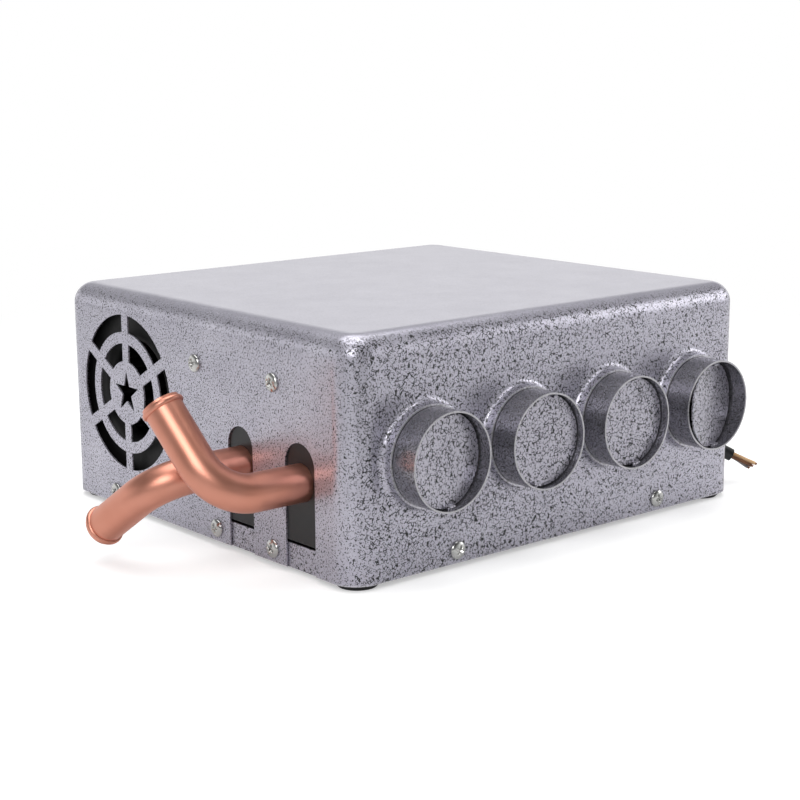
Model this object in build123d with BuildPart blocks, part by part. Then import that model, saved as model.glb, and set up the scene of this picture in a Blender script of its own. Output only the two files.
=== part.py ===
"""Under-dash water heater: a drawn steel cover with four flared duct necks over a folded tray.

Hot water passes through a finned copper core by two bent pipes on the left. A motor in the
middle turns two squirrel-cage wheels, which draw air in at both ends and push it forward
through the core and out of four ducts, each shut by its own round flap.

Frame: X along the duct face, to the right. The ducts face -Y. Z is up. The origin is the
middle of the tray's underside. Millimetres.
"""

import os
from math import atan2, cos, degrees, pi, radians, sin, sqrt, tan

from build123d import *

# Casing
case_width = 280.0
case_depth = 257.0
case_height = 120.0
corner_radius = 14.0
top_radius = 11.5
cover_sheet = 0.9

# Tray: a plate with four folded upstands inside the cover
tray_sheet = 1.0
tray_gap = 0.3
tray_upstand = 12.5
tray_corner_relief = 3.0
base_bolt_x = 60.0
base_bolt_inset = 16.5
base_bolt_radius = 3.3

# Duct outlets: necks drawn out of the cover, with a rolled collar in each
duct_count = 4
duct_pitch = 64.0
duct_drop = 1.0
collar_radius = 24.5
collar_sheet = 0.9
collar_reach = 22.0
collar_flange = 5.4
collar_step = 0.5
collar_step_gap = 0.5
neck_reach = 6.6
neck_flare = 3.5
neck_clearance = 0.1

# Flaps: one disc in each collar, on two stub pivots in forward-bent ears
flap_gap = 0.7
flap_sheet = 0.9
flap_set_back = 1.0
hinge_recess = 3.2
ear_width = 5.0
ear_drop = 0.5
ear_nose = 1.8
pivot_radius = 1.25
pivot_clearance = 0.08
pivot_short = 0.1
flap_rest_turn = (7.5, -1.0, 1.0, 15.0)
hinge_clock = (0.0, 17.0, -4.0, -2.0)

# Round grilles, one in each end wall, in line with the blower
blower_from_back = 62.5
blower_lift = 5.0
grille_radius = 43.0
outer_slot = 9.6
inner_slot = 9.8
grille_rib = 6.2
grille_spoke = 6.0
star_radius = 12.0
star_points = 5

# Water pipes and the slots they leave through
pipe_radius = 9.5
pipe_wall = 1.2
pipe_height = 44.7
pipe_from_front = 39.5
pipe_spacing = 49.0
pipe_inset = 1.5
pipe_bend = 24.0
pipe_turn = 81.0
near_run_out = 26.8
near_end_run = 33.7
near_lean = 51.3
rear_run_out = 27.5
rear_end_run = 32.2
rear_lean = -36.6
bead_radius = 1.6
bead_stand = 1.2
bead_back = 2.6
near_slot_width = 23.5
rear_slot_width = 21.0
slot_top = 64.3

# Heater core: four rows of tube in a fin pack, three tubes high
core_inset_left = 32.0
core_inset_right = 33.0
seal_low = 8.0
seal_high = 10.1
core_rows = 4
core_levels = 3
core_margin = 9.0
level_pitch = 32.0
tube_radius = 4.76
tube_clearance = 0.1
bend_stand = 2.0
fin_pitch = 6.0
fin_gap = 3.4
fin_groove = 3.0
plate_sheet = 1.0
plate_flange = 8.0
header_radius = 9.0
header_wall = 1.0
header_stand = 4.0
header_overrun = 10.0
stub_clearance = 0.1
stub_wall = 1.0
stub_reach = 8.0

# Core brackets
bracket_sheet = 1.2
bracket_drop = 8.0
bracket_flange = 21.0
bracket_ahead = 13.0
bracket_behind = 46.0
bracket_leg = 26.0

# Blower wheels
wheel_radius = 36.5
wheel_inner = 29.2
wheel_width = 44.0
wheel_inset = 16.0
blade_count = 26
blade_sheet = 1.1
blade_lead = 3.2
ring_width = 3.0
ring_depth = 2.0
hub_sheet = 1.8
hub_radius = 7.0
hub_length = 14.0

# Scroll housings
scroll_wall = 1.6
scroll_step = 5.0
scroll_start = 41.5
scroll_inset = 8.0
scroll_length = 60.0
scroll_mouth_reach = 54.0
scroll_mouth_height = 26.0
scroll_shaft_hole = 8.0
scroll_rib = 3.0
inlet_bore = 27.5
inlet_flare = 3.0
inlet_reach = 6.0

# Motor
motor_radius = 29.0
motor_wall = 1.6
motor_half = 36.0
end_cap_sheet = 3.0
end_boss_radius = 9.0
end_boss_reach = 5.0
bush_radius = 6.0
shaft_radius = 3.0
shaft_clearance = 0.05
shaft_overrun = 2.2
armature_radius = 21.0
armature_half = 18.0
armature_slots = 7
armature_slot = 3.0
armature_slot_depth = 6.0
commutator_radius = 8.0
commutator_length = 10.0
magnet_inner = 22.0
magnet_half = 24.0
magnet_gap = 14.0

# Motor cradle and strap
cradle_sheet = 1.6
cradle_half = 20.0
cradle_fit = 0.1
cradle_leg = 44.0
cradle_foot = 10.0
strap_screw_y = 37.5
strap_screw_radius = 2.0
strap_screw_head = 3.6
strap_screw_length = 8.0

# Screws through the cover
screw_head = 4.85
screw_head_height = 2.6
screw_crown = 2.6
screw_shank = 2.3
screw_length = 6.5
cover_hole = 2.6
tray_hole = 2.4
low_screw_z = 7.0
high_screw_drop = 10.0
low_screw_behind_near = 22.5
low_screw_behind_rear = 22.0
low_screw_behind_blower = 14.0
high_screw_behind_near = 20.7
high_screw_behind_rear = 38.5
face_screw_x = 73.5

# Feet
foot_inset_x = 14.0
foot_inset_y = 13.5
foot_radius = 10.5
foot_height = 3.0
foot_edge = 1.0
foot_stem = 2.4
foot_stem_gap = 0.1
foot_barb = 4.0
foot_barb_height = 2.0

# Leads: a black sleeve from the motor to a grommet in the right wall, and three short ends
sleeve_radius = 3.7
sleeve_bore = 2.7
sleeve_gap = 4.0
sleeve_low = 5.0
sleeve_behind_core = 9.0
sleeve_side_gap = 14.0
grommet_bore_gap = 0.05
grommet_body = 5.3
grommet_hole_gap = 0.1
grommet_flange = 7.0
grommet_lip = 2.0
grommet_ahead = 9.0
grommet_z = 21.0
lead_radius = 1.0
lead_spread = 1.3

# Each lead: name, clock angle in the sleeve, and its points off the sleeve's end: across, up and out
lead_routes = (
    ("lead_cream", 90.0, ((-0.2, 2.1, 7.0), (0.3, 2.6, 14.0), (0.2, 1.7, 21.0))),
    ("lead_brown", 210.0, ((-1.6, -0.6, 7.0), (-1.3, -0.9, 13.0), (-1.5, -1.7, 18.5))),
    ("lead_grey", 330.0, ((1.7, -1.6, 6.0), (1.4, -2.7, 11.5), (1.6, -3.0, 16.5))),
)

# Places worked out from the sizes above
left_x = -case_width / 2
right_x = case_width / 2
front_y = -case_depth / 2
back_y = case_depth / 2
cover_roof = case_height - cover_sheet
duct_height = case_height / 2 - duct_drop
duct_places = [(n - (duct_count - 1) / 2) * duct_pitch for n in range(duct_count)]
neck_bore = collar_radius + neck_clearance
neck_foot = neck_bore + cover_sheet + neck_flare
rim_y = front_y - collar_reach
flap_radius = collar_radius - collar_sheet - flap_gap
blower_y = back_y - blower_from_back
blower_z = case_height / 2 + blower_lift
pipe_near_y = front_y + pipe_from_front
pipe_rear_y = pipe_near_y + pipe_spacing
core_left = left_x + core_inset_left
core_right = right_x - core_inset_right
core_low = tray_sheet + seal_low
core_high = cover_roof - seal_high
core_height = core_high - core_low
core_centre_z = (core_low + core_high) / 2
row_pitch = pipe_spacing / (core_rows - 1)
row_places = [pipe_near_y + n * row_pitch for n in range(core_rows)]
level_places = [core_centre_z + (n - (core_levels - 1) / 2) * level_pitch for n in range(core_levels)]
core_front = pipe_near_y - core_margin
core_back = pipe_rear_y + core_margin
plate_left = core_left - plate_sheet
plate_right = core_right + plate_sheet
header_x = plate_left - header_stand - header_radius
bracket_high = core_high - bracket_drop
bracket_low = bracket_high - bracket_flange
bracket_front = pipe_near_y + bracket_ahead
bracket_rear = pipe_rear_y + bracket_behind
high_screw_z = bracket_high - high_screw_drop
side_low_screws = (
    pipe_near_y + low_screw_behind_near,
    pipe_rear_y + low_screw_behind_rear,
    blower_y + low_screw_behind_blower,
)
side_high_screws = (pipe_near_y + high_screw_behind_near, pipe_rear_y + high_screw_behind_rear)
face_screws = (-face_screw_x, face_screw_x)
base_bolt_y = case_depth / 2 - base_bolt_inset
foot_x = case_width / 2 - foot_inset_x
foot_y = case_depth / 2 - foot_inset_y
wheel_end = right_x - wheel_inset
scroll_outer = right_x - scroll_inset
scroll_inner = scroll_outer - scroll_length
grommet_y = pipe_near_y - grommet_ahead

# The sleeve's route: out of the motor's cap, down beside the scroll, round behind the core to
# the right wall, forward along it, and out through the grommet
drop_x = scroll_inner - sleeve_radius - sleeve_gap
floor_z = tray_sheet + sleeve_low
cross_y = core_back + sleeve_behind_core
side_x = right_x - sleeve_side_gap
sleeve_route = (
    (motor_half + end_cap_sheet, blower_y - 18.0, blower_z - 15.0),
    (drop_x, blower_y - 18.0, blower_z - 15.0),
    (drop_x - 2.0, blower_y - 44.0, floor_z),
    (drop_x + 2.0, cross_y + 2.0, floor_z),
    (side_x, cross_y, floor_z),
    (side_x, grommet_y + 14.0, floor_z + 1.0),
    (side_x, grommet_y, grommet_z),
    (right_x + 11.0, grommet_y, grommet_z),
    (right_x + 23.0, grommet_y - 9.5, grommet_z - 8.2),
)
lead_start = (right_x - 6.4, grommet_y, grommet_z)

left_face = Plane(origin=(left_x, 0, 0), x_dir=(0, -1, 0), z_dir=(-1, 0, 0))
right_face = Plane(origin=(right_x, 0, 0), x_dir=(0, 1, 0), z_dir=(1, 0, 0))
front_face = Plane(origin=(0, front_y, 0), x_dir=(1, 0, 0), z_dir=(0, -1, 0))
back_face = Plane(origin=(0, back_y, 0), x_dir=(-1, 0, 0), z_dir=(0, 1, 0))

os.makedirs("parts", exist_ok=True)


def keep(builder, name):
    """Label a finished piece and write it under its own name."""
    builder.part.label = name
    export_step(builder.part, f"parts/{name}.step")


def flared_section(bore, wall, flare, reach):
    """Half section of a hole drawn out of a sheet: a tube of the given reach, flared into it."""
    root = bore + wall + flare
    half = sqrt(0.5)
    with BuildSketch() as section:
        with BuildLine():
            Line((bore, flare), (bore, reach))
            Line((bore, reach), (bore + wall, reach))
            Line((bore + wall, reach), (bore + wall, flare))
            ThreePointArc((bore + wall, flare), (root - flare * half, flare * (1 - half)), (root, 0))
            Line((root, 0), (root, -wall))
            turn = flare + wall
            ThreePointArc((root, -wall), (root - turn * half, flare - turn * half), (bore, flare))
        make_face()
    return section.sketch


# Grille opening: two rings of slots between six spokes, round a plain star
with BuildSketch() as grille_opening:
    inner_ring = grille_radius - outer_slot - grille_rib
    Circle(grille_radius)
    Circle(grille_radius - outer_slot, mode=Mode.SUBTRACT)
    Circle(inner_ring)
    Circle(inner_ring - inner_slot, mode=Mode.SUBTRACT)
    with PolarLocations(0, 3, start_angle=30, angular_range=180):
        Rectangle(2 * grille_radius + 2, grille_spoke, mode=Mode.SUBTRACT)
    notch_radius = star_radius * sin(radians(18)) / sin(radians(54))
    star_outline = []
    for n in range(2 * star_points):
        tip = star_radius if n % 2 == 0 else notch_radius
        angle = pi / 2 + n * pi / star_points
        star_outline.append((tip * cos(angle), tip * sin(angle)))
    Polygon(*star_outline, align=None)

# Cover: drawn shell, open below
with BuildPart() as cover:
    with BuildSketch():
        RectangleRounded(case_width, case_depth, corner_radius)
    extrude(amount=case_height)
    fillet(cover.edges().group_by(Axis.Z)[-1], top_radius)
    offset(amount=-cover_sheet, openings=cover.faces().sort_by(Axis.Z)[0])
    with BuildSketch(front_face):
        with Locations(*[(x, duct_height) for x in duct_places]):
            Circle(neck_foot)
    extrude(amount=-cover_sheet, mode=Mode.SUBTRACT)
    for x in duct_places:
        neck_plane = Plane(origin=(x, front_y, duct_height), x_dir=(1, 0, 0), z_dir=(0, 0, -1))
        with BuildSketch(neck_plane):
            add(flared_section(neck_bore, cover_sheet, neck_flare, neck_reach))
        revolve(axis=Axis((x, front_y, duct_height), (0, -1, 0)))
    with BuildSketch(left_face):
        with Locations((-blower_y, blower_z)):
            add(grille_opening.sketch)
        for y, width in ((pipe_near_y, near_slot_width), (pipe_rear_y, rear_slot_width)):
            straight = slot_top - width / 2
            with Locations((-y, straight / 2)):
                Rectangle(width, straight)
            with Locations((-y, straight)):
                Circle(width / 2)
        with Locations(*[(-y, low_screw_z) for y in side_low_screws]):
            Circle(cover_hole)
        with Locations(*[(-y, high_screw_z) for y in side_high_screws]):
            Circle(cover_hole)
    extrude(amount=-2 * cover_sheet, mode=Mode.SUBTRACT)
    with BuildSketch(right_face):
        with Locations((blower_y, blower_z)):
            add(grille_opening.sketch)
        with Locations(*[(y, low_screw_z) for y in side_low_screws]):
            Circle(cover_hole)
        with Locations(*[(y, high_screw_z) for y in side_high_screws]):
            Circle(cover_hole)
        with Locations((grommet_y, grommet_z)):
            Circle(grommet_body + grommet_hole_gap)
    extrude(amount=-2 * cover_sheet, mode=Mode.SUBTRACT)
    for face in (front_face, back_face):
        with BuildSketch(face):
            with Locations(*[(x, low_screw_z) for x in face_screws]):
                Circle(cover_hole)
        extrude(amount=-2 * cover_sheet, mode=Mode.SUBTRACT)
keep(cover, "cover")

# Tray: plate with four upstands, which stop short of the round corners
tray_width = case_width - 2 * (cover_sheet + tray_gap)
tray_depth = case_depth - 2 * (cover_sheet + tray_gap)
tray_corner = corner_radius - cover_sheet - tray_gap
with BuildPart() as base_tray:
    with BuildSketch():
        RectangleRounded(tray_width, tray_depth, tray_corner)
    extrude(amount=tray_sheet)
    wall_x = tray_width - 2 * (tray_corner + tray_corner_relief)
    wall_y = tray_depth - 2 * (tray_corner + tray_corner_relief)
    with BuildSketch():
        with Locations((0, (tray_depth - tray_sheet) / 2), (0, -(tray_depth - tray_sheet) / 2)):
            Rectangle(wall_x, tray_sheet)
        with Locations(((tray_width - tray_sheet) / 2, 0), (-(tray_width - tray_sheet) / 2, 0)):
            Rectangle(tray_sheet, wall_y)
    extrude(amount=tray_upstand)
    with BuildSketch():
        with Locations(*[(sx * base_bolt_x, sy * base_bolt_y) for sx in (-1, 1) for sy in (-1, 1)]):
            Circle(base_bolt_radius)
        with Locations(*[(sx * foot_x, sy * foot_y) for sx in (-1, 1) for sy in (-1, 1)]):
            Circle(foot_stem + foot_stem_gap)
    extrude(amount=tray_sheet, mode=Mode.SUBTRACT)
    through_wall = -(cover_sheet + tray_gap + 2 * tray_sheet)
    with BuildSketch(left_face):
        with Locations(*[(-y, low_screw_z) for y in side_low_screws]):
            Circle(tray_hole)
    extrude(amount=through_wall, mode=Mode.SUBTRACT)
    with BuildSketch(right_face):
        with Locations(*[(y, low_screw_z) for y in side_low_screws]):
            Circle(tray_hole)
    extrude(amount=through_wall, mode=Mode.SUBTRACT)
    for face in (front_face, back_face):
        with BuildSketch(face):
            with Locations(*[(x, low_screw_z) for x in face_screws]):
                Circle(tray_hole)
        extrude(amount=through_wall, mode=Mode.SUBTRACT)
keep(base_tray, "base_tray")

# Collars and flaps, numbered from the pipe end
collar_inner = collar_radius - collar_sheet
collar_root = front_y + cover_sheet
step_y = front_y - neck_reach - collar_step_gap
for n, x in enumerate(duct_places, start=1):
    clock = radians(hinge_clock[n - 1])
    turn = radians(flap_rest_turn[n - 1])
    hinge_up = Vector(sin(clock), 0, cos(clock))
    across = Vector(cos(clock), 0, -sin(clock))
    inward = Vector(0, 1, 0)
    pivot_point = (x, rim_y + hinge_recess, duct_height)

    with BuildPart() as collar:
        section_plane = Plane(origin=(x, 0, duct_height), x_dir=(1, 0, 0), z_dir=(0, 0, 1))
        with BuildSketch(section_plane):
            with BuildLine():
                Polyline(
                    (collar_inner, rim_y),
                    (collar_radius, rim_y),
                    (collar_radius, step_y),
                    (collar_radius - collar_step, step_y),
                    (collar_radius - collar_step, collar_root),
                    (collar_radius + collar_flange, collar_root),
                    (collar_radius + collar_flange, collar_root + collar_sheet),
                    (collar_inner, collar_root + collar_sheet),
                    close=True,
                )
            make_face()
        revolve(axis=Axis((x, 0, duct_height), (0, 1, 0)))
        with BuildSketch(Plane(origin=pivot_point, x_dir=across, z_dir=hinge_up)):
            Circle(pivot_radius + pivot_clearance)
        extrude(amount=collar_radius + 1, both=True, mode=Mode.SUBTRACT)
    keep(collar, f"duct_collar_{n}")

    disc_x = across * cos(turn) + inward * sin(turn)
    disc_y = inward * cos(turn) - across * sin(turn)
    hinge_plane = Plane(origin=pivot_point, x_dir=disc_x, z_dir=hinge_up)
    disc_plane = Plane(origin=hinge_plane.from_local_coords((0, flap_set_back, 0)), x_dir=disc_x, z_dir=disc_y)
    ear_outer = flap_radius - ear_drop
    with BuildPart() as flap:
        with BuildSketch(disc_plane):
            Circle(flap_radius)
        extrude(amount=flap_sheet)
        with BuildSketch(disc_plane):
            with Locations((0, ear_outer - flap_sheet / 2), (0, flap_sheet / 2 - ear_outer)):
                Rectangle(ear_width, flap_sheet)
        extrude(amount=-(flap_set_back + ear_nose))
        pivot_length = collar_radius - pivot_short - ear_outer + flap_sheet / 2
        for side in (-1, 1):
            start = ear_outer - flap_sheet / 2
            with BuildSketch(hinge_plane.offset(side * start)):
                Circle(pivot_radius)
            extrude(amount=side * pivot_length)
    keep(flap, f"flap_{n}")

# Pipes: a socket end over the core's stub, one tight bend and a beaded end
for name, y, run_out, lean, end_run in (
    ("pipe_near", pipe_near_y, near_run_out, near_lean, near_end_run),
    ("pipe_rear", pipe_rear_y, rear_run_out, rear_lean, rear_end_run),
):
    start = (left_x + pipe_inset, y, pipe_height)
    lean_angle = radians(lean)
    bend_plane = Plane(origin=start, x_dir=(-1, 0, 0), z_dir=(0, sin(lean_angle), -cos(lean_angle)))
    with BuildPart() as pipe:
        with BuildLine(bend_plane) as route:
            out = Line((0, 0), (run_out + pipe_inset, 0))
            bend = JernArc(start=out @ 1, tangent=out % 1, radius=pipe_bend, arc_size=pipe_turn)
            Line(bend @ 1, bend @ 1 + (bend % 1) * end_run)
        pipe_line = route.wires()[0]
        pipe_end = pipe_line @ 1
        pipe_heading = pipe_line % 1
        mouth = Plane(origin=start, z_dir=(-1, 0, 0))
        with BuildSketch(mouth):
            Circle(pipe_radius)
        sweep(path=pipe_line)
        side_way = bend_plane.z_dir
        bead_plane = Plane(origin=pipe_end, x_dir=side_way, z_dir=side_way.cross(pipe_heading))
        with BuildSketch(bead_plane):
            with Locations((pipe_radius + bead_stand - bead_radius, -bead_back)):
                Circle(bead_radius)
        revolve(axis=Axis(pipe_end, pipe_heading))
        with BuildSketch(mouth):
            Circle(pipe_radius - pipe_wall)
        sweep(path=pipe_line, mode=Mode.SUBTRACT)
    keep(pipe, name)

# Core headers: capped uprights, each with a stub that its pipe fits over
stub_radius = pipe_radius - pipe_wall - stub_clearance
stub_end = left_x + pipe_inset - stub_reach
header_low = level_places[0] - header_overrun
header_high = level_places[-1] + header_overrun
tube_end = plate_left - (plate_left - header_x - header_radius) - header_wall * 1.5
for name, y in (("core_header_near", pipe_near_y), ("core_header_rear", pipe_rear_y)):
    with BuildPart() as header:
        with BuildSketch(Plane.XY.offset(header_low)):
            with Locations((header_x, y)):
                Circle(header_radius)
        extrude(amount=header_high - header_low)
        stub_plane = Plane(origin=(header_x, y, pipe_height), z_dir=(-1, 0, 0))
        with BuildSketch(stub_plane):
            Circle(stub_radius)
        extrude(amount=header_x - stub_end)
        with BuildSketch(Plane.XY.offset(header_low + header_wall)):
            with Locations((header_x, y)):
                Circle(header_radius - header_wall)
        extrude(amount=header_high - header_low - 2 * header_wall, mode=Mode.SUBTRACT)
        with BuildSketch(stub_plane):
            Circle(stub_radius - stub_wall)
        extrude(amount=header_x - stub_end + 1, mode=Mode.SUBTRACT)
        for level in level_places:
            with BuildSketch(Plane(origin=(header_x, y, level), z_dir=(1, 0, 0))):
                Circle(tube_radius + tube_clearance)
            extrude(amount=header_radius + 1, mode=Mode.SUBTRACT)
    keep(header, name)

# Core tubes: one serpentine on each level, from the near header to the rear one
bend_right = plate_right + bend_stand
bend_left = plate_left - bend_stand
half_pitch = row_pitch / 2
with BuildPart() as core_tubes:
    for level in level_places:
        y1, y2, y3, y4 = row_places
        with BuildLine(Plane.XY.offset(level)) as serpentine:
            Line((tube_end, y1), (bend_right, y1))
            ThreePointArc((bend_right, y1), (bend_right + half_pitch, y1 + half_pitch), (bend_right, y2))
            Line((bend_right, y2), (bend_left, y2))
            ThreePointArc((bend_left, y2), (bend_left - half_pitch, y2 + half_pitch), (bend_left, y3))
            Line((bend_left, y3), (bend_right, y3))
            ThreePointArc((bend_right, y3), (bend_right + half_pitch, y3 + half_pitch), (bend_right, y4))
            Line((bend_right, y4), (tube_end, y4))
        with BuildSketch(Plane(origin=(tube_end, y1, level), z_dir=(1, 0, 0))):
            Circle(tube_radius)
        sweep(path=serpentine.wires()[0])
keep(core_tubes, "core_tubes")

# Fin pack: grooved front and back, bored for the tubes
core_middle_y = (core_front + core_back) / 2
tube_grid = [(y, z) for y in row_places for z in level_places]
fin_count = int((core_right - core_left) / fin_pitch) - 1
with BuildPart() as core_fins:
    with BuildSketch(Plane.XY.offset(core_low)):
        with Locations(((core_left + core_right) / 2, core_middle_y)):
            Rectangle(core_right - core_left, core_back - core_front)
        for y in (core_front + fin_groove / 2, core_back - fin_groove / 2):
            with Locations(((core_left + core_right) / 2, y)):
                with GridLocations(fin_pitch, 0, fin_count, 1):
                    Rectangle(fin_gap, fin_groove, mode=Mode.SUBTRACT)
    extrude(amount=core_height)
    with BuildSketch(Plane(origin=(core_left, 0, 0), x_dir=(0, 1, 0), z_dir=(1, 0, 0))):
        with Locations(*tube_grid):
            Circle(tube_radius + tube_clearance)
    extrude(amount=core_right - core_left, mode=Mode.SUBTRACT)
keep(core_fins, "core_fins")

# Core end plates, each with a flange turned outwards at the top and the bottom
for name, inner_x, side in (("core_plate_left", core_left, -1), ("core_plate_right", core_right, 1)):
    plate_plane = Plane(origin=(inner_x, 0, 0), x_dir=(0, 1, 0), z_dir=(1, 0, 0))
    with BuildPart() as end_plate:
        with BuildSketch(plate_plane):
            with Locations((core_middle_y, core_centre_z)):
                Rectangle(core_back - core_front, core_height)
            with Locations(*tube_grid):
                Circle(tube_radius + tube_clearance, mode=Mode.SUBTRACT)
        extrude(amount=side * plate_sheet)
        for z in (core_low + plate_sheet / 2, core_high - plate_sheet / 2):
            with BuildSketch(plate_plane):
                with Locations((core_middle_y, z)):
                    Rectangle(core_back - core_front, plate_sheet)
            extrude(amount=side * plate_flange)
    keep(end_plate, name)

# Foam strips between the core and the tray, and the core and the cover's roof
for name, low, high in (("core_seal_bottom", tray_sheet, core_low), ("core_seal_top", core_high, cover_roof)):
    with BuildPart() as seal:
        with BuildSketch(Plane.XY.offset(low)):
            with Locations(((core_left + core_right) / 2, core_middle_y)):
                Rectangle(core_right - core_left, core_back - core_front)
        extrude(amount=high - low)
    keep(seal, name)

# Core brackets: a flange on the end wall and a leg to the core's end plate
for name, wall_x, plate_x, side in (
    ("core_bracket_left", left_x + cover_sheet, plate_left, -1),
    ("core_bracket_right", right_x - cover_sheet, plate_right, 1),
):
    with BuildPart() as bracket:
        with BuildSketch(Plane.XZ.offset(-bracket_front)):
            with BuildLine():
                Polyline(
                    (wall_x, bracket_low),
                    (wall_x, bracket_high),
                    (plate_x + side * bracket_sheet, bracket_high),
                    (plate_x + side * bracket_sheet, core_high - plate_sheet),
                    (plate_x, core_high - plate_sheet),
                    (plate_x, bracket_high - bracket_sheet),
                    (wall_x - side * bracket_sheet, bracket_high - bracket_sheet),
                    (wall_x - side * bracket_sheet, bracket_low),
                    close=True,
                )
            make_face()
        extrude(amount=-bracket_leg)
        flange_face = Plane(origin=(wall_x, 0, 0), x_dir=(0, 1, 0), z_dir=(1, 0, 0))
        with BuildSketch(flange_face):
            with Locations(((bracket_front + bracket_rear) / 2, (bracket_low + bracket_high) / 2)):
                Rectangle(bracket_rear - bracket_front, bracket_high - bracket_low)
        extrude(amount=-side * bracket_sheet)
        with BuildSketch(flange_face):
            with Locations(*[(y, high_screw_z) for y in side_high_screws]):
                Circle(tray_hole)
        extrude(amount=-side * 2 * bracket_sheet, mode=Mode.SUBTRACT)
    keep(bracket, name)

# Blade of a wheel, curved forwards, as a thin crescent between its inner and outer edge
with BuildSketch() as blade:
    tip_radius = wheel_radius - ring_depth / 2
    belly = 0.5 * (wheel_inner + tip_radius)
    with BuildLine():
        ThreePointArc((wheel_inner, 0), (belly, 0.2 * blade_lead), (tip_radius, blade_lead))
        Line((tip_radius, blade_lead), (tip_radius - 0.1, blade_lead + blade_sheet))
        ThreePointArc(
            (tip_radius - 0.1, blade_lead + blade_sheet),
            (belly, 0.2 * blade_lead + blade_sheet),
            (wheel_inner, blade_sheet),
        )
        Line((wheel_inner, blade_sheet), (wheel_inner, 0))
    make_face()

# Blower wheels, on either end of the motor's shaft
for name, side in (("blower_wheel_left", -1), ("blower_wheel_right", 1)):
    outer_end = Plane(origin=(side * wheel_end, blower_y, blower_z), x_dir=(0, 1, 0), z_dir=(1, 0, 0))
    hub_end = outer_end.offset(-side * wheel_width)
    with BuildPart() as wheel:
        with BuildSketch(outer_end):
            with PolarLocations(0, blade_count):
                add(blade.sketch)
        extrude(amount=-side * wheel_width)
        with BuildSketch(outer_end):
            Circle(wheel_radius)
            Circle(wheel_radius - ring_depth, mode=Mode.SUBTRACT)
        extrude(amount=-side * ring_width)
        with BuildSketch(hub_end):
            Circle(wheel_radius)
        extrude(amount=side * hub_sheet)
        with BuildSketch(hub_end):
            Circle(hub_radius)
        extrude(amount=side * (hub_sheet + hub_length))
        with BuildSketch(hub_end):
            Circle(shaft_radius + shaft_clearance)
        extrude(amount=side * (hub_sheet + hub_length), mode=Mode.SUBTRACT)
    keep(wheel, name)


def scroll_outline(mouth):
    """Air passage of a scroll about its wheel: three quarter turns that grow by a step, then a mouth."""
    lead = scroll_step / 2
    r1 = scroll_start
    r2 = r1 + scroll_step
    r3 = r2 + scroll_step
    half = sqrt(0.5)
    front = (lead - r1, lead)
    top = (lead, lead + r1)
    rear = (lead + r2, -lead)
    bottom = (-lead, -lead - r3)
    mouth_top = bottom[1] + scroll_mouth_height
    tongue_radius = sqrt(front[0] ** 2 + front[1] ** 2)
    tongue = (-sqrt(tongue_radius**2 - mouth_top**2), mouth_top)
    between = (atan2(tongue[1], tongue[0]) % (2 * pi) + atan2(front[1], front[0]) % (2 * pi)) / 2
    tongue_middle = (tongue_radius * cos(between), tongue_radius * sin(between))
    with BuildSketch() as passage:
        with BuildLine():
            ThreePointArc(front, (lead - r1 * half, lead + r1 * half), top)
            ThreePointArc(top, (lead + r2 * half, -lead + r2 * half), rear)
            ThreePointArc(rear, (-lead + r3 * half, -lead - r3 * half), bottom)
            Line(bottom, (mouth, bottom[1]))
            Line((mouth, bottom[1]), (mouth, mouth_top))
            Line((mouth, mouth_top), tongue)
            ThreePointArc(tongue, tongue_middle, front)
        make_face()
    return passage.sketch


# Scroll housings: black mouldings on two ribs, each with an inlet plate at its outer end
mouth_reach = -scroll_mouth_reach
scroll_floor = blower_z - scroll_step / 2 - scroll_start - 2 * scroll_step
for name, side in (("scroll_left", -1), ("scroll_right", 1)):
    open_end = Plane(origin=(side * scroll_outer, blower_y, blower_z), x_dir=(0, 1, 0), z_dir=(1, 0, 0))
    with BuildPart() as scroll:
        with BuildSketch(open_end):
            offset(scroll_outline(mouth_reach + scroll_wall), amount=scroll_wall, kind=Kind.INTERSECTION)
        extrude(amount=-side * scroll_length)
        with BuildSketch(Plane.XY.offset(tray_sheet)):
            for y in (blower_y - scroll_mouth_reach + 3 * scroll_rib, blower_y - 3 * scroll_rib):
                with Locations((side * (scroll_outer + scroll_inner) / 2, y)):
                    Rectangle(scroll_length, scroll_rib)
        extrude(amount=scroll_floor - tray_sheet)
        with BuildSketch(open_end):
            add(scroll_outline(mouth_reach - scroll_wall))
        extrude(amount=-side * (scroll_length - scroll_wall), mode=Mode.SUBTRACT)
        with BuildSketch(open_end):
            Circle(scroll_shaft_hole)
        extrude(amount=-side * scroll_length, mode=Mode.SUBTRACT)
    keep(scroll, name)

    with BuildPart() as inlet:
        with BuildSketch(open_end):
            offset(scroll_outline(mouth_reach + scroll_wall), amount=scroll_wall, kind=Kind.INTERSECTION)
            Circle(inlet_bore + scroll_wall + inlet_flare, mode=Mode.SUBTRACT)
        extrude(amount=side * scroll_wall)
        mouth_plane = Plane(
            origin=(side * scroll_outer, blower_y, blower_z), x_dir=(0, 1, 0), z_dir=(0, 0, side)
        )
        with BuildSketch(mouth_plane):
            add(flared_section(inlet_bore, scroll_wall, inlet_flare, inlet_reach))
        revolve(axis=Axis((side * scroll_outer, blower_y, blower_z), (1, 0, 0)))
    keep(inlet, name.replace("scroll", "scroll_inlet"))

# Motor: can, end caps with bushes, magnets, and the armature on its shaft
motor_middle = Plane(origin=(0, blower_y, blower_z), x_dir=(0, 1, 0), z_dir=(1, 0, 0))
bush_start = motor_half
bush_end = motor_half + end_cap_sheet + end_boss_reach
with BuildPart() as motor_can:
    with BuildSketch(motor_middle):
        Circle(motor_radius)
        Circle(motor_radius - motor_wall, mode=Mode.SUBTRACT)
    extrude(amount=motor_half, both=True)
keep(motor_can, "motor_can")

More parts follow.
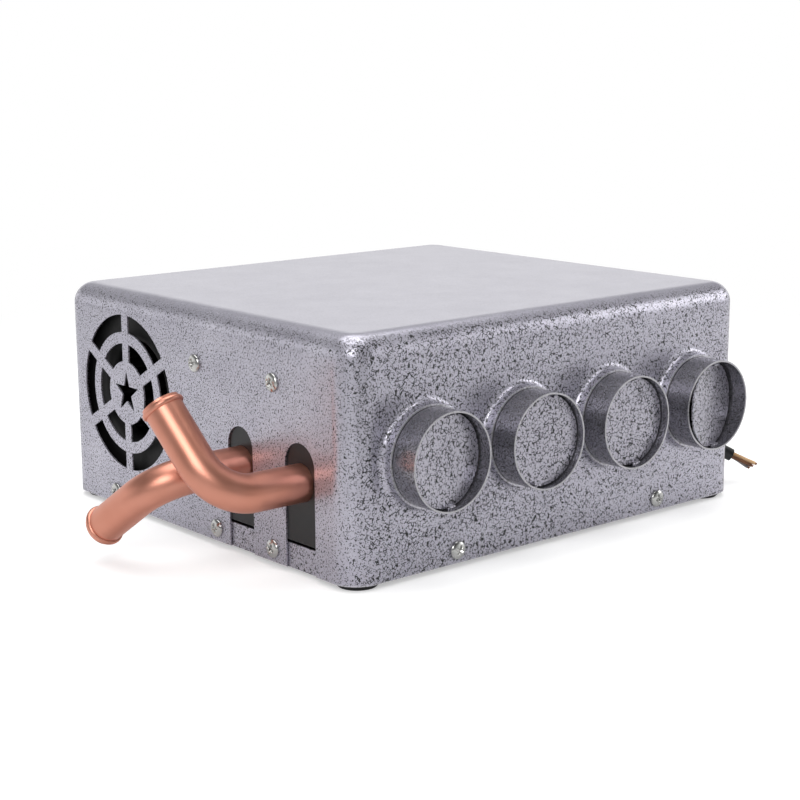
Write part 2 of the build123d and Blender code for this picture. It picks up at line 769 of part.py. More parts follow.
for name, side in (("left", -1), ("right", 1)):
    cap_plane = motor_middle.offset(side * motor_half)
    with BuildPart() as end_cap:
        with BuildSketch(cap_plane):
            Circle(motor_radius)
        extrude(amount=side * end_cap_sheet)
        with BuildSketch(cap_plane):
            Circle(end_boss_radius)
        extrude(amount=side * (bush_end - bush_start))
        with BuildSketch(cap_plane):
            Circle(bush_radius)
        extrude(amount=side * (bush_end - bush_start), mode=Mode.SUBTRACT)
    keep(end_cap, f"motor_cap_{name}")

    with BuildPart() as bush:
        with BuildSketch(cap_plane):
            Circle(bush_radius)
            Circle(shaft_radius + shaft_clearance, mode=Mode.SUBTRACT)
        extrude(amount=side * (bush_end - bush_start))
    keep(bush, f"motor_bush_{name}")

with BuildPart() as motor_magnets:
    with BuildSketch(motor_middle):
        Circle(motor_radius - motor_wall)
        Circle(magnet_inner, mode=Mode.SUBTRACT)
        Rectangle(magnet_gap, 2 * motor_radius, mode=Mode.SUBTRACT)
    extrude(amount=magnet_half, both=True)
keep(motor_magnets, "motor_magnets")

with BuildPart() as motor_armature:
    with BuildSketch(motor_middle):
        Circle(armature_radius)
        with PolarLocations(armature_radius - armature_slot_depth / 2, armature_slots):
            Rectangle(armature_slot_depth + 2, armature_slot, mode=Mode.SUBTRACT)
    extrude(amount=armature_half, both=True)
    with BuildSketch(motor_middle.offset(armature_half)):
        Circle(commutator_radius)
    extrude(amount=commutator_length)
    with BuildSketch(motor_middle):
        Circle(shaft_radius + shaft_clearance)
    extrude(amount=armature_half + commutator_length, both=True, mode=Mode.SUBTRACT)
keep(motor_armature, "motor_armature")

shaft_end = wheel_end - wheel_width + hub_sheet + hub_length + shaft_overrun
with BuildPart() as motor_shaft:
    with BuildSketch(motor_middle):
        Circle(shaft_radius)
    extrude(amount=shaft_end, both=True)
keep(motor_shaft, "motor_shaft")

# Cradle: a strip that dips under the can between two legs, and a strap over it
seat_inner = motor_radius + cradle_fit
seat_outer = seat_inner + cradle_sheet
leg_height = blower_z - tray_sheet
with BuildPart() as motor_cradle:
    with BuildSketch(motor_middle):
        Circle(seat_outer)
        Circle(seat_inner, mode=Mode.SUBTRACT)
        with Locations((0, seat_outer / 2)):
            Rectangle(2 * seat_outer, seat_outer, mode=Mode.SUBTRACT)
        for side in (-1, 1):
            with Locations((side * (seat_inner + cradle_leg) / 2, -cradle_sheet / 2)):
                Rectangle(cradle_leg - seat_inner, cradle_sheet)
            with Locations((side * (cradle_leg - cradle_sheet / 2), -leg_height / 2)):
                Rectangle(cradle_sheet, leg_height)
            with Locations((side * (cradle_leg + cradle_foot / 2), cradle_sheet / 2 - leg_height)):
                Rectangle(cradle_foot, cradle_sheet)
    extrude(amount=cradle_half, both=True)
    with BuildSketch(Plane.XY.offset(blower_z)):
        with Locations((0, blower_y - strap_screw_y), (0, blower_y + strap_screw_y)):
            Circle(strap_screw_radius + 0.1)
    extrude(amount=-2 * cradle_sheet, mode=Mode.SUBTRACT)
keep(motor_cradle, "motor_cradle")

with BuildPart() as motor_strap:
    with BuildSketch(motor_middle):
        Circle(seat_outer)
        Circle(seat_inner, mode=Mode.SUBTRACT)
        with Locations((0, -seat_outer / 2)):
            Rectangle(2 * seat_outer, seat_outer, mode=Mode.SUBTRACT)
        for side in (-1, 1):
            with Locations((side * (seat_inner + cradle_leg) / 2, cradle_sheet / 2)):
                Rectangle(cradle_leg - seat_inner, cradle_sheet)
    extrude(amount=cradle_half / 2, both=True)
    with BuildSketch(Plane.XY.offset(blower_z)):
        with Locations((0, blower_y - strap_screw_y), (0, blower_y + strap_screw_y)):
            Circle(strap_screw_radius + 0.1)
    extrude(amount=2 * cradle_sheet, mode=Mode.SUBTRACT)
keep(motor_strap, "motor_strap")

with BuildPart() as strap_screws:
    with BuildSketch(Plane.XY.offset(blower_z + cradle_sheet)):
        with Locations((0, blower_y - strap_screw_y), (0, blower_y + strap_screw_y)):
            RegularPolygon(strap_screw_head, 6)
    extrude(amount=strap_screw_head / 2)
    with BuildSketch(Plane.XY.offset(blower_z + cradle_sheet)):
        with Locations((0, blower_y - strap_screw_y), (0, blower_y + strap_screw_y)):
            Circle(strap_screw_radius)
    extrude(amount=-strap_screw_length)
keep(strap_screws, "strap_screws")

# Pan-head screws, one group for each row of like screws
screw_groups = (
    ("screws_left_low", left_face, [(-y, low_screw_z) for y in side_low_screws]),
    ("screws_left_high", left_face, [(-y, high_screw_z) for y in side_high_screws]),
    ("screws_right_low", right_face, [(y, low_screw_z) for y in side_low_screws]),
    ("screws_right_high", right_face, [(y, high_screw_z) for y in side_high_screws]),
    ("screws_front", front_face, [(x, low_screw_z) for x in face_screws]),
    ("screws_back", back_face, [(x, low_screw_z) for x in face_screws]),
)
for name, face, places in screw_groups:
    with BuildPart() as screws:
        for place in places:
            seat = face.from_local_coords((place[0], place[1], 0))
            radial = Plane(origin=seat, x_dir=face.x_dir, z_dir=face.x_dir.cross(face.z_dir))
            with BuildSketch(radial):
                with BuildLine():
                    Polyline(
                        (0, -screw_length),
                        (screw_shank, -screw_length),
                        (screw_shank, 0),
                        (screw_head, 0),
                        (screw_head, screw_head_height / 3),
                        (screw_crown, screw_head_height),
                        (0, screw_head_height),
                        close=True,
                    )
                make_face()
            revolve(axis=Axis(seat, face.z_dir))
    keep(screws, name)

# Rubber feet, pushed through the tray and held by a barb
for name, sx, sy in (
    ("foot_front_left", -1, -1),
    ("foot_front_right", 1, -1),
    ("foot_back_left", -1, 1),
    ("foot_back_right", 1, 1),
):
    place = (sx * foot_x, sy * foot_y, 0)
    with BuildPart() as foot:
        with BuildSketch(Plane(origin=place, x_dir=(1, 0, 0), z_dir=(0, -1, 0))):
            with BuildLine():
                Polyline(
                    (0, -foot_height),
                    (foot_radius - foot_edge, -foot_height),
                    (foot_radius, foot_edge - foot_height),
                    (foot_radius, 0),
                    (foot_stem, 0),
                    (foot_stem, tray_sheet),
                    (foot_barb, tray_sheet),
                    (foot_stem, tray_sheet + foot_barb_height),
                    (0, tray_sheet + foot_barb_height),
                    close=True,
                )
            make_face()
        revolve(axis=Axis(place, (0, 0, 1)))
    keep(foot, name)

# Grommet in the right wall
with BuildPart() as lead_grommet:
    grommet_bore = sleeve_radius + grommet_bore_gap
    with BuildSketch(Plane(origin=(right_x, grommet_y, grommet_z), x_dir=(0, 1, 0), z_dir=(0, 0, -1))):
        with BuildLine():
            Polyline(
                (grommet_bore, -cover_sheet - grommet_lip),
                (grommet_flange, -cover_sheet - grommet_lip),
                (grommet_flange, -cover_sheet),
                (grommet_body, -cover_sheet),
                (grommet_body, 0),
                (grommet_flange, 0),
                (grommet_flange, grommet_lip / 2),
                (grommet_flange - grommet_lip / 2, grommet_lip),
                (grommet_bore, grommet_lip),
                close=True,
            )
        make_face()
    revolve(axis=Axis((right_x, grommet_y, grommet_z), (1, 0, 0)))
keep(lead_grommet, "lead_grommet")



def bend_radii(points):
    """Largest tangent arc at each corner: 0.45 of the shorter run over the tangent of half the turn."""
    radii = []
    for before, corner, after in zip(points, points[1:], points[2:]):
        run_in = Vector(*corner) - Vector(*before)
        run_out = Vector(*after) - Vector(*corner)
        turn = radians(run_in.get_angle(run_out))
        radii.append(0.45 * min(run_in.length, run_out.length) / tan(turn / 2))
    return radii


# Sleeve over the three leads, from the motor to its open end outside
with BuildPart() as lead_sleeve:
    with BuildLine() as sleeve_line:
        FilletPolyline(*sleeve_route, radius=bend_radii(sleeve_route))
    sleeve_wire = sleeve_line.wires()[0]
    with BuildSketch(Plane(origin=sleeve_wire @ 0, z_dir=sleeve_wire % 0)):
        Circle(sleeve_radius)
    sweep(path=sleeve_wire)
    sleeve_end = sleeve_wire @ 1
    sleeve_heading = sleeve_wire % 1
    end_plane = Plane(origin=sleeve_end, x_dir=Vector(0, 0, 1).cross(sleeve_heading), z_dir=sleeve_heading)
    bore_route = (lead_start, sleeve_route[-2], sleeve_route[-1])
    with BuildLine() as bore_line:
        FilletPolyline(*bore_route, radius=bend_radii(sleeve_route)[-1:])
    bore_wire = bore_line.wires()[0]
    with BuildSketch(Plane(origin=lead_start, z_dir=(1, 0, 0))):
        Circle(sleeve_bore)
    sweep(path=bore_wire, mode=Mode.SUBTRACT)
print("lead_sleeve length", round(sleeve_wire.length, 1), "radii", [round(r, 1) for r in bend_radii(sleeve_route)])
solid_volume = pi * (sleeve_radius**2 * sleeve_wire.length - sleeve_bore**2 * bore_wire.length)
print("lead_sleeve volume over section times length", round(lead_sleeve.part.volume / solid_volume, 4))
keep(lead_sleeve, "lead_sleeve")

# Three leads, which lie side by side in the sleeve's bore and end bare
mid_heading = (sleeve_heading + Vector(1, 0, 0)).normalized()
mid_across = Vector(0, 0, 1).cross(mid_heading).normalized()
mid_up = mid_heading.cross(mid_across)
for name, clock, beyond in lead_routes:
    aside = mid_across * (lead_spread * cos(radians(clock))) + mid_up * (lead_spread * sin(radians(clock)))
    seat = Vector(lead_start[0], lead_start[1] + aside.Y, lead_start[2] + aside.Z)
    corner = Vector(*sleeve_route[-2]) + aside
    leaving = sleeve_end + sleeve_heading * 1.0 + aside
    points = [tuple(v) for v in (seat, corner, leaving, *(end_plane.from_local_coords(p) for p in beyond))]
    radii = bend_radii(points)
    with BuildPart() as lead:
        with BuildLine() as lead_line:
            FilletPolyline(*points, radius=radii)
        lead_wire = lead_line.wires()[0]
        with BuildSketch(Plane(origin=seat, z_dir=(1, 0, 0))):
            Circle(lead_radius)
        sweep(path=lead_wire)
    section_volume = pi * lead_radius**2 * lead_wire.length
    print(name, "length", round(lead_wire.length, 1), "radii", [round(r, 1) for r in radii])
    print(name, "volume over section times length", round(lead.part.volume / section_volume, 4))
    keep(lead, name)
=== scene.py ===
from math import cos, pi, sin

import bmesh
import bpy
import numpy as np
from mathutils import Matrix, Vector


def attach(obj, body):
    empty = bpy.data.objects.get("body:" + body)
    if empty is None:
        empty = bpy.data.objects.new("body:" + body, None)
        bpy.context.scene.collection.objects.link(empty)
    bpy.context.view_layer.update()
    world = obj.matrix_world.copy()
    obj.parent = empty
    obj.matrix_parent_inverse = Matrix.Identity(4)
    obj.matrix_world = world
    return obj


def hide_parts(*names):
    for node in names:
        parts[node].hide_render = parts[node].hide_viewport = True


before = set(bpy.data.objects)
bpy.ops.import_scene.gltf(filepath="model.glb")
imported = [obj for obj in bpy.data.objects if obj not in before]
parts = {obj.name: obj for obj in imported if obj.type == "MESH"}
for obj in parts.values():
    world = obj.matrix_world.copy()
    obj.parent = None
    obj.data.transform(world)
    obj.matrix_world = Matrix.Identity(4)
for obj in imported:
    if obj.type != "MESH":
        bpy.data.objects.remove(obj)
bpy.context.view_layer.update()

# The camera stands to the front left of the heater and a little above its roof, as it was
# for the photograph. Its heading, tilt and roll were fitted to the edges of the case.
heading, tilt, roll = -0.705, 0.208, -0.005
ahead = Vector((-sin(heading) * cos(tilt), cos(heading) * cos(tilt), -sin(tilt)))
level_right = ahead.cross(Vector((0, 0, 1))).normalized()
level_up = level_right.cross(ahead)
view_right = level_right * cos(roll) + level_up * sin(roll)
view_up = level_up * cos(roll) - level_right * sin(roll)
lens = bpy.data.cameras.new("camera")
lens.lens = 77.72
lens.sensor_width = 36.0
lens.clip_start = 0.01
camera = bpy.data.objects.new("camera", lens)
stand = Matrix.Translation((-0.6241, -0.7326, 0.2549))
camera.matrix_world = stand @ Matrix((view_right, view_up, -ahead)).transposed().to_4x4()
bpy.context.scene.collection.objects.link(camera)
bpy.context.scene.camera = camera


# Three motor leads leave the black sleeve on the right wall and end bare. Each is a soft
# plastic-covered wire 2 mm thick, with its insulation cut back from a twist of thin strands.
def new_material(name):
    """A material with one Principled shader.

    Gives the material, its nodes, links and shader, and the object's own coordinates.
    """
    material = bpy.data.materials.new(name)
    material.use_nodes = True
    tree = material.node_tree
    place = tree.nodes.new("ShaderNodeTexCoord").outputs["Object"]
    return material, tree.nodes, tree.links, tree.nodes["Principled BSDF"], place


def group_sockets(name, inputs, outputs):
    """An empty node group.

    inputs and outputs give each socket's name and type, and inputs a starting value.
    """
    group = bpy.data.node_groups.new(name, "ShaderNodeTree")
    for label, kind, value in inputs:
        socket = group.interface.new_socket(label, in_out="INPUT", socket_type="NodeSocket" + kind)
        if value is not None:
            socket.default_value = value
    for label, kind in outputs:
        group.interface.new_socket(label, in_out="OUTPUT", socket_type="NodeSocket" + kind)
    return group, group.nodes.new("NodeGroupInput").outputs, group.nodes.new("NodeGroupOutput").inputs


# Grain: a broad cloud for tone and a fine one for height, both stretched along X by Draw
grain, given, out = group_sockets(
    "surface_grain",
    [("Place", "Vector", None), ("Scale", "Float", 400.0), ("Draw", "Vector", (1.0, 1.0, 1.0))],
    [("Tone", "Float"), ("Height", "Float")],
)
drawn = grain.nodes.new("ShaderNodeVectorMath")
drawn.operation = "MULTIPLY"
grain.links.new(given["Place"], drawn.inputs[0])
grain.links.new(given["Draw"], drawn.inputs[1])
broad = grain.nodes.new("ShaderNodeTexNoise")
broad.inputs["Detail"].default_value = 3.0
broad_scale = grain.nodes.new("ShaderNodeMath")
broad_scale.operation = "MULTIPLY"
broad_scale.inputs[1].default_value = 0.18
grain.links.new(given["Scale"], broad_scale.inputs[0])
grain.links.new(broad_scale.outputs[0], broad.inputs["Scale"])
grain.links.new(drawn.outputs[0], broad.inputs["Vector"])
fine = grain.nodes.new("ShaderNodeTexNoise")
fine.inputs["Detail"].default_value = 2.0
grain.links.new(given["Scale"], fine.inputs["Scale"])
grain.links.new(drawn.outputs[0], fine.inputs["Vector"])
both = grain.nodes.new("ShaderNodeMath")
both.operation = "MULTIPLY_ADD"
both.inputs[1].default_value = 0.35
grain.links.new(fine.outputs[0], both.inputs[0])
grain.links.new(broad.outputs[0], both.inputs[2])
level = grain.nodes.new("ShaderNodeMapRange")
level.inputs["From Min"].default_value = 0.45
level.inputs["From Max"].default_value = 0.95
grain.links.new(both.outputs[0], level.inputs["Value"])
grain.links.new(level.outputs[0], out["Tone"])
grain.links.new(fine.outputs[0], out["Height"])


def grained(name, dark, light, scale, rough, bump, metallic=0.0, draw=(1, 1, 1)):
    """A finish that goes from dark to light, and through both roughnesses, with the grain's tone.

    The grain's height dents it, bump metres deep.
    """
    material, nodes, links, shader, place = new_material(name)
    cloud = nodes.new("ShaderNodeGroup")
    cloud.node_tree = grain
    cloud.inputs["Scale"].default_value = scale
    cloud.inputs["Draw"].default_value = draw
    links.new(place, cloud.inputs["Place"])
    tint = nodes.new("ShaderNodeMix")
    tint.data_type = "RGBA"
    tint.inputs["A"].default_value = (*dark, 1)
    tint.inputs["B"].default_value = (*light, 1)
    links.new(cloud.outputs["Tone"], tint.inputs["Factor"])
    links.new(tint.outputs["Result"], shader.inputs["Base Color"])
    gloss = nodes.new("ShaderNodeMapRange")
    gloss.inputs["To Min"].default_value, gloss.inputs["To Max"].default_value = rough
    links.new(cloud.outputs["Tone"], gloss.inputs["Value"])
    links.new(gloss.outputs[0], shader.inputs["Roughness"])
    dents = nodes.new("ShaderNodeBump")
    dents.inputs["Strength"].default_value = 0.5
    dents.inputs["Distance"].default_value = bump
    links.new(cloud.outputs["Height"], dents.inputs["Height"])
    links.new(dents.outputs[0], shader.inputs["Normal"])
    shader.inputs["Metallic"].default_value = metallic
    return material


def surface(name, points, loop=False, body="casing", material=None):
    """A mesh from grids of points, each (rows, columns, 3).

    A row closes on itself where loop is true. The first and last rows may be a point.
    """
    vertices, faces, start = [], [], 0
    for grid in points:
        rows, columns = grid.shape[:2]
        i, j = np.meshgrid(np.arange(rows - 1), np.arange(columns if loop else columns - 1), indexing="ij")
        k = (j + 1) % columns
        here, above = i * columns, (i + 1) * columns
        quads = np.stack([here + j, here + k, above + k, above + j], -1)
        vertices.append(grid.reshape(-1, 3))
        faces.append(quads.reshape(-1, 4) + start)
        start += rows * columns
    mesh = bpy.data.meshes.new(name)
    mesh.from_pydata(np.concatenate(vertices).tolist(), [], np.concatenate(faces).tolist())
    mesh.update()
    piece = bpy.data.objects.new(name, mesh)
    bpy.context.scene.collection.objects.link(piece)
    # Poles: the points that coincide are made one
    work = bmesh.new()
    work.from_mesh(mesh)
    bmesh.ops.remove_doubles(work, verts=work.verts, dist=1e-7)
    bmesh.ops.recalc_face_normals(work, faces=work.faces)
    work.to_mesh(mesh)
    work.free()
    mesh.polygons.foreach_set("use_smooth", np.ones(len(mesh.polygons), dtype=bool))
    mesh.materials.append(material)
    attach(piece, body)
    return piece


lead_radius = 0.001
strand_count, strand_radius, strand_ring = 7, 0.00021, 0.00052
strand_copper = grained("strand_copper", (0.16, 0.05, 0.03), (0.55, 0.24, 0.13), 900, (0.25, 0.5),
                        0.00005, metallic=1.0)
# Each lead's route in metres, then its darkest and lightest tone
lead_facts = {
    "cream": (
        [(0.1336, -0.0981, 0.02226), (0.15132, -0.0981, 0.02226), (0.16401, -0.10815, 0.01358),
         (0.16701, -0.11067, 0.01176), (0.17055, -0.11348, 0.00962), (0.17413, -0.11632, 0.00757)],
        (0.60, 0.36, 0.17), (0.80, 0.56, 0.33),
    ),
    "brown": (
        [(0.1336, -0.09902, 0.02037), (0.1505, -0.09902, 0.02037), (0.16319, -0.10907, 0.0117),
         (0.16575, -0.11089, 0.01018), (0.16871, -0.11298, 0.00846), (0.17199, -0.11538, 0.00652)],
        (0.10, 0.035, 0.012), (0.22, 0.085, 0.03),
    ),
    "grey": (
        [(0.1336, -0.09688, 0.02037), (0.15119, -0.09688, 0.02037), (0.16388, -0.10692, 0.0117),
         (0.16671, -0.10922, 0.00965), (0.16916, -0.11142, 0.00732), (0.17134, -0.11334, 0.00532)],
        (0.11, 0.10, 0.10), (0.25, 0.22, 0.22),
    ),
}
for tone, (route, dark, light) in lead_facts.items():
    line = bpy.data.curves.new("lead_%s_cover" % tone, "CURVE")
    line.dimensions = "3D"
    spline = line.splines.new("NURBS")
    spline.points.add(len(route) - 1)
    spline.points.foreach_set("co", np.c_[np.array(route), np.ones(len(route))].ravel())
    spline.order_u = 3
    spline.use_endpoint_u = True
    spline.resolution_u = 16
    line.bevel_depth = lead_radius
    line.bevel_resolution = 6
    line.use_fill_caps = True
    lead = bpy.data.objects.new("lead_%s_cover" % tone, line)
    bpy.context.scene.collection.objects.link(lead)
    line.materials.append(
        grained("lead_%s_plastic" % tone, dark, light, 700, (0.32, 0.5), 0.00006))
    # Strands: seven thin wires on the lead's line, which turn and spread as they leave it
    tip, before = np.array(route[-1]), np.array(route[-2])
    out_way = (tip - before) / np.linalg.norm(tip - before)
    flat_way = np.cross(out_way, (0, 0, 1.0))
    flat_way /= np.linalg.norm(flat_way)
    rise_way = np.cross(flat_way, out_way)
    along = np.linspace(-0.0006, 0.0016, 8)[:, None]
    ring = np.linspace(0, 2 * pi, 8, endpoint=False)[None, :]
    round_way = np.cos(ring)[..., None] * flat_way + np.sin(ring)[..., None] * rise_way
    thick = strand_radius * np.array([0.01, 1, 1, 1, 1, 1, 0.9, 0.01])[:, None]
    wires = []
    for n in range(strand_count):
        # The last one runs straight up the middle, and the others wind round it
        seat = 0.0 if n == strand_count - 1 else strand_ring
        clock = 2 * pi * n / (strand_count - 1) + 400 * along
        reach = seat * (1 + 180 * np.clip(along, 0, None) * (0.6 + 0.4 * sin(2.4 * n)))
        aside = flat_way * reach * np.cos(clock) + rise_way * reach * np.sin(clock)
        middle = tip + out_way * along * (1 - 0.12 * (n % 3)) + aside
        wires.append(middle[:, None, :] + thick[..., None] * round_way)
    strands = surface("lead_%s_strands" % tone, wires, loop=True,
                      material=strand_copper)
    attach(lead, "casing")
    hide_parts("lead_" + tone)


# The black sleeve over the leads and the rubber ring that holds it in the right wall. The
# sleeve is extruded plastic tube, and the ring is moulded rubber snapped into its hole.
def dress(material, *names):
    """Gives these carried-over nodes their finish."""
    for name in names:
        mesh = parts[name].data
        mesh.materials.clear()
        mesh.materials.append(material)


dress(grained("sleeve_plastic", (0.006, 0.006, 0.007), (0.014, 0.014, 0.015), 500, (0.30, 0.45),
              0.00008), "lead_sleeve")
moulded_rubber = grained("moulded_rubber", (0.012, 0.012, 0.012), (0.028, 0.028, 0.029), 900,
                         (0.55, 0.75), 0.00010)
dress(moulded_rubber, "lead_grommet",
      "foot_front_left", "foot_front_right", "foot_back_left", "foot_back_right")

# A rubber pad behind each pipe slot fills it round the pipe, so that no air leaks past. Both
# are cut from sheet 2.5 mm thick and stuck to the inside of the cover's left wall.
pad_rubber = grained("pad_rubber", (0.005, 0.005, 0.006), (0.010, 0.010, 0.012), 120,
                     (0.32, 0.45), 0.00006)
pad_outside, pad_inside = -0.13905, -0.1365
pad_hole, pad_up, pad_down = 0.0097, 0.0222, 0.0306
pipe_height = 0.0447
around = np.linspace(0, 2 * pi, 96, endpoint=False)
for name, y, half_width in (("slot_pad_near", -0.089, 0.0135), ("slot_pad_rear", -0.040, 0.0125)):
    to_side = half_width / np.maximum(np.abs(np.cos(around)), 1e-6)
    to_end = np.where(np.sin(around) > 0, pad_up, pad_down) / np.maximum(np.abs(np.sin(around)), 1e-6)
    edge = np.minimum(to_side, to_end)
    rows = []
    for x, reach in ((pad_outside, pad_hole), (pad_outside, edge), (pad_inside, edge),
                     (pad_inside, pad_hole), (pad_outside, pad_hole)):
        rows.append(np.stack([np.full(96, x), y + reach * np.cos(around),
                              pipe_height + reach * np.sin(around)], -1))
    piece = surface(name, [np.array(rows)], loop=True, material=pad_rubber)
    piece.data.polygons.foreach_set("use_smooth", np.zeros(len(piece.data.polygons), dtype=bool))

# The cover is one shell drawn from 0.9 mm steel, with its four necks drawn out of the front,
# and the tray closes it below. Both have a silver crackle powder coat: smooth satin skin
# that shrinks as it cures, so that black shows through in short broken strokes.
crackle, given, out = group_sockets(
    "coat_strokes",
    [("Place", "Vector", None), ("Cells", "Float", 330.0), ("Width", "Float", 0.08), ("Cover", "Float", 0.5)],
    [("Strokes", "Float")],
)


def worked(tree, kind, *values, **settings):
    """One node in tree, with the node's own settings.

    Each value goes to the next input: a socket is linked, and a number is set there.
    """
    node = tree.nodes.new("ShaderNode" + kind)
    for key, value in settings.items():
        setattr(node, key, value)
    for socket, value in zip(node.inputs, values):
        if isinstance(value, bpy.types.NodeSocket):
            tree.links.new(value, socket)
        elif value is not None:
            socket.default_value = value
    return node


def ramp(tree, value, low, high, start, end, smooth=False):
    """As value goes from low to high, the result goes from start to end, eased where smooth is true."""
    easing = "SMOOTHSTEP" if smooth else "LINEAR"
    return worked(tree, "MapRange", value, low, high, start, end, interpolation_type=easing).outputs[0]


# A stroke runs where two cells of warped Voronoi meet. A cloud of the cells' own size cuts
# the lines into short pieces that taper to nothing, and a broad cloud crowds and thins them
wander = worked(crackle, "TexNoise", given["Place"], None, 700.0, 1.0)
shift = worked(crackle, "VectorMath", wander.outputs["Color"], (0.5, 0.5, 0.5), operation="SUBTRACT")
warp = 0.0005
moved = worked(crackle, "VectorMath", shift.outputs[0], (warp, warp, warp), given["Place"],
               operation="MULTIPLY_ADD")
cells = worked(crackle, "TexVoronoi", moved.outputs[0], feature="DISTANCE_TO_EDGE")
crackle.links.new(given["Cells"], cells.inputs["Scale"])
crowd = worked(crackle, "TexNoise", given["Place"], None, 55.0, 3.0)
pieces = worked(crackle, "TexNoise", given["Place"], None, None, 1.0)
crackle.links.new(given["Cells"], pieces.inputs["Scale"])
piece = worked(crackle, "Math", pieces.outputs[0], given["Cover"], operation="ADD")
crowded = worked(crackle, "Math", ramp(crackle, crowd.outputs[0], 0.3, 0.7, -0.03, 0.022),
                 piece.outputs[0], operation="ADD")
taper = ramp(crackle, crowded.outputs[0], 1.0, 1.12, 0.0, 1.0)
reach = worked(crackle, "Math", taper, given["Width"], operation="MULTIPLY").outputs[0]
inside = worked(crackle, "Math", reach, cells.outputs["Distance"], operation="SUBTRACT").outputs[0]
crackle.links.new(ramp(crackle, inside, -0.012, 0.012, 0.0, 1.0), out["Strokes"])


coat_tones = ((0.52, 0.505, 0.59), (0.60, 0.585, 0.67))


def crackle_coat(name, coarse, dots, cover_faces=False, bright=(), tones=coat_tones, rough_skin=0.34):
    """The crackle coat: coarse strokes 2 mm apart and fine ones half that, each as dense as given.

    bright gives bands of an axis where the colour is mixed towards near white: painted highlights along
    edges.
    """
    material, nodes, links, shader, place = new_material(name)
    tree = material.node_tree
    apart = worked(tree, "SeparateXYZ", place).outputs
    covers = [coarse, dots]
    if cover_faces:
        # Coarse strokes thin out to the front's far end, and the near end wall and its corner have few of
        # them, which paints that lit wall lighter than the front: painted light
        lit_wall_thinning = ramp(tree, apart["X"], -0.1395, -0.130, 0.36, coarse)
        thinned = ramp(tree, apart["X"], -0.04, 0.14, 0.0, 0.07)
        covers[0] = worked(tree, "Math", lit_wall_thinning, thinned, operation="SUBTRACT").outputs[0]
    layers = []
    for cells_a_metre, stroke, cover in ((520.0, 0.09, covers[0]), (1050.0, 0.12, covers[1])):
        layer = nodes.new("ShaderNodeGroup")
        layer.node_tree = crackle
        layer.inputs["Cells"].default_value = cells_a_metre
        layer.inputs["Width"].default_value = stroke
        if isinstance(cover, float):
            layer.inputs["Cover"].default_value = cover
        else:
            links.new(cover, layer.inputs["Cover"])
        links.new(place, layer.inputs["Place"])
        layers.append(layer.outputs["Strokes"])
    strokes = worked(tree, "Math", layers[0], layers[1], operation="MAXIMUM").outputs[0]
    if cover_faces:
        # The roof has hardly any strokes: painted light, for the white the roof reflects at a grazing angle
        roof_painted_light = ramp(tree, apart["Z"], 0.1165, 0.1198, 1.0, 0.10)
        strokes = worked(tree, "Math", strokes, roof_painted_light, operation="MULTIPLY").outputs[0]
    cloud = nodes.new("ShaderNodeGroup")
    cloud.node_tree = grain
    cloud.inputs["Scale"].default_value = 260.0
    links.new(place, cloud.inputs["Place"])
    skin = worked(tree, "Mix", data_type="RGBA")
    skin.inputs["A"].default_value = (*tones[0], 1)
    skin.inputs["B"].default_value = (*tones[1], 1)
    links.new(cloud.outputs["Tone"], skin.inputs["Factor"])
    inked = worked(tree, "Mix", data_type="RGBA")
    inked.inputs["B"].default_value = (0.008, 0.008, 0.010, 1)
    links.new(strokes, inked.inputs["Factor"])
    links.new(skin.outputs["Result"], inked.inputs["A"])
    colour = inked.outputs["Result"]
    rough = ramp(tree, strokes, 0.0, 1.0, rough_skin, 0.6)
    # Painted highlight: each bright band lifts the colour towards near white
    for axis, full, none in bright:
        edge = ramp(tree, apart[axis], full, none, 0.35, 0.0)
        painted_glint = worked(tree, "Mix", data_type="RGBA")
        painted_glint.inputs["B"].default_value = (0.86, 0.85, 0.87, 1)
        links.new(edge, painted_glint.inputs["Factor"])
        links.new(colour, painted_glint.inputs["A"])
        colour = painted_glint.outputs["Result"]
    links.new(colour, shader.inputs["Base Color"])
    links.new(rough, shader.inputs["Roughness"])
    links.new(ramp(tree, strokes, 0.0, 1.0, 0.82, 0.0), shader.inputs["Metallic"])
    sunk = worked(tree, "Bump", 0.5, 0.0001, invert=True)
    links.new(strokes, sunk.inputs["Height"])
    links.new(sunk.outputs[0], shader.inputs["Normal"])
    shader.inputs["Coat Weight"].default_value = 0.4
    shader.inputs["Coat Roughness"].default_value = 0.13
    return material


# Painted highlights: a thin near-white band along the cover's bottom edge and a ring near the front end of
# each neck
cover_bands = [("Z", 0.0003, 0.0008), ("Y", -0.1348, -0.1343)]
dress(crackle_coat("cover_coat", 0.545, 0.50, True, cover_bands), "cover")
dress(crackle_coat("tray_coat", 0.50, 0.50), "base_tray")

# The collars are short tubes of the same steel, rolled, put through the necks from inside
# and held there by their flanges. The hoses push over them. Their coat is finer, and its darker tones are
# partly painted shade, for the dark the collars mirror from the front face and the shade between the necks.
# Painted highlight: a near-white band round each collar's front rim
collar_coat = crackle_coat("collar_coat", 0.40, 0.54, bright=[("Y", -0.1504, -0.1501)],
                           tones=((0.24, 0.235, 0.27), (0.34, 0.33, 0.37)), rough_skin=0.25)
dress(collar_coat, "duct_collar_1", "duct_collar_2", "duct_collar_3", "duct_collar_4")

# A flap in each collar shuts that outlet: a flat steel disc with two ears bent forward, which
# turn on stub pins. It has the cover's coat, with its strokes at their coarsest, in darker tones that are
# painted shade for its place deep in the collar.
flap_coat = crackle_coat("flap_coat", 0.57, 0.47, tones=((0.46, 0.445, 0.52), (0.54, 0.525, 0.60)))
dress(flap_coat, "flap_1", "flap_2", "flap_3", "flap_4")

# Two copper pipes carry the engine's hot water to the core and back. Each is one bent tube
# with a bead rolled at its end to hold the hose, brushed and left bare.
dress(grained("pipe_copper", (0.66, 0.27, 0.185), (0.80, 0.38, 0.285), 60, (0.34, 0.44),
              0.00004, metallic=1.0), "pipe_near", "pipe_rear")
dress(grained("core_copper", (0.50, 0.19, 0.11), (0.78, 0.36, 0.24), 220, (0.32, 0.5),
              0.00008, metallic=1.0), "core_header_near", "core_header_rear", "core_tubes")

